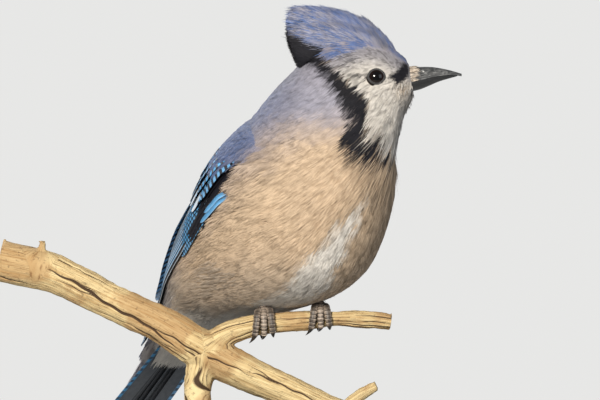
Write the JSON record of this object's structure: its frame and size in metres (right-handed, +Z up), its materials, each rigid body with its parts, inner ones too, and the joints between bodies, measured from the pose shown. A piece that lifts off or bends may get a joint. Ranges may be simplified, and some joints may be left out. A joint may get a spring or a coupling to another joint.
{
  "type": "blue jay on a branch, still model",
  "caption": "Life-size still model of a crested songbird with blue, black and white feathers, gripping a cut piece of forked branch on a plain display stand.",
  "frame": {"origin": "middle of the stand base's underside, on the floor", "axes": "+Z up, +X along the side branch towards its free end and the way the bill points, -Y towards the front toes"},
  "size_m": [0.2097, 0.1719, 0.2082],
  "materials": {
    "breast_plumage": "soft warm grey-buff feathers",
    "neck_plumage": "soft lavender-grey feathers with a black necklace",
    "head_plumage": "blue crest, pale face and white throat feathers",
    "wing_plumage": "bright blue feathers barred with black and edged with white",
    "tail_plumage": "blue tail feathers barred with black, grey underneath",
    "eye": "polished very dark brown",
    "bill": "satin blackish horn",
    "claw": "satin black horn",
    "foot_skin": "scaled grey-brown skin",
    "bare_wood": "weathered barkless wood with long dark cracks",
    "base_lacquer": "satin black lacquer",
    "rod_steel": "brushed"
  },
  "bodies": {
    "root": {"bill_lower": "bill", "bill_upper": "bill", "claw_left_1": "claw", "claw_left_2": "claw", "claw_left_3": "claw", "claw_left_4": "claw", "claw_right_1": "claw", "claw_right_2": "claw", "claw_right_3": "claw", "claw_right_4": "claw", "eye_left": "eye", "eye_right": "eye", "foot_left": "foot_skin", "foot_right": "foot_skin", "head": "head_plumage", "neck": "neck_plumage", "perch_branch": "bare_wood", "stand_base": "base_lacquer", "stand_rod_1": "rod_steel", "stand_rod_2": "rod_steel", "tail": "tail_plumage", "tarsus_left": "foot_skin", "tarsus_right": "foot_skin", "thigh_left": "breast_plumage", "thigh_right": "breast_plumage", "torso": "breast_plumage", "wing_left": "wing_plumage", "wing_right": "wing_plumage"}
  },
  "joints": []
}
